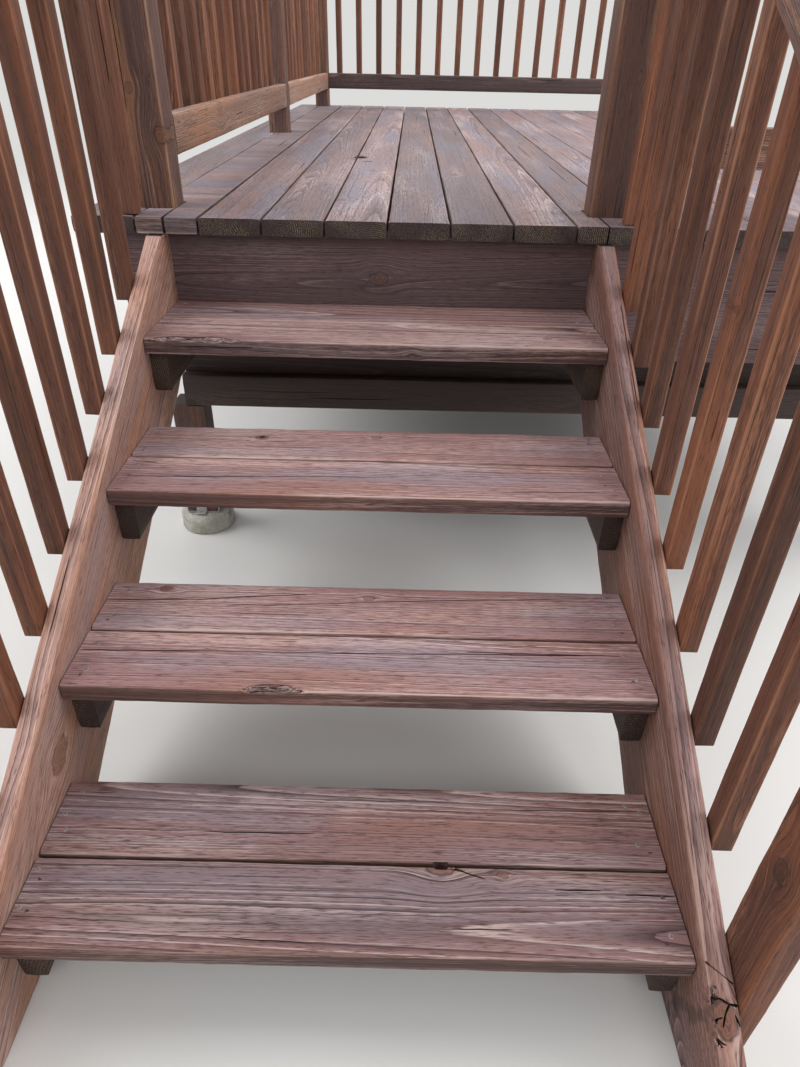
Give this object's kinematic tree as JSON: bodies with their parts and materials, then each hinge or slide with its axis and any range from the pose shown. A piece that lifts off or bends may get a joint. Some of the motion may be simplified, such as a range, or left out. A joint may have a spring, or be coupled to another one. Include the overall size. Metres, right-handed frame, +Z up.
{
  "type": "wooden deck stairs",
  "caption": "Open-tread timber stair between plank stringers with baluster handrails, rising to a raised deck landing with guards, joists and beams.",
  "frame": {"origin": "on the ground under the middle of the whole outline", "axes": "+Z up, +Y along the climb from the foot of the stair to the back of the deck, +X to the right when climbing"},
  "size_m": [2.285, 5.43, 1.904],
  "materials": {
    "tread_wood": "weathered stain",
    "frame_wood": "weathered stain",
    "rail_wood": "brown stain",
    "deck_wood": "worn stain",
    "shoe_metal": "galvanised, spotted with rust",
    "concrete": "rough cast"
  },
  "bodies": {
    "root": {"back_rim": "frame_wood", "beam_facings": "frame_wood", "beams": "frame_wood", "cleats_left": "frame_wood", "cleats_right": "frame_wood", "deck_boards": "deck_wood", "foot_newel_left": "rail_wood", "foot_newel_right": "rail_wood", "front_rim": "frame_wood", "front_rim_inner": "frame_wood", "guard_balusters_back": "rail_wood", "guard_balusters_front": "rail_wood", "guard_balusters_left": "rail_wood", "guard_bottom_rail_back": "rail_wood", "guard_bottom_rail_front": "rail_wood", "guard_bottom_rail_left": "rail_wood", "guard_cap_back": "rail_wood", "guard_cap_front": "rail_wood", "guard_cap_left": "rail_wood", "guard_posts": "rail_wood", "guard_top_rail_back": "rail_wood", "guard_top_rail_front": "rail_wood", "guard_top_rail_left": "rail_wood", "head_newel_left": "rail_wood", "head_newel_right": "rail_wood", "joists": "frame_wood", "piers": "concrete", "post_bases": "shoe_metal", "side_rim_left": "frame_wood", "side_rim_right": "frame_wood", "stair_balusters_left": "rail_wood", "stair_balusters_right": "rail_wood", "stair_cap_left": "rail_wood", "stair_cap_right": "rail_wood", "stair_rail_left": "rail_wood", "stair_rail_right": "rail_wood", "stringer_left": "frame_wood", "stringer_right": "frame_wood", "support_posts": "frame_wood", "tread_1": "tread_wood", "tread_2": "tread_wood", "tread_3": "tread_wood", "tread_4": "tread_wood"}
  },
  "joints": []
}
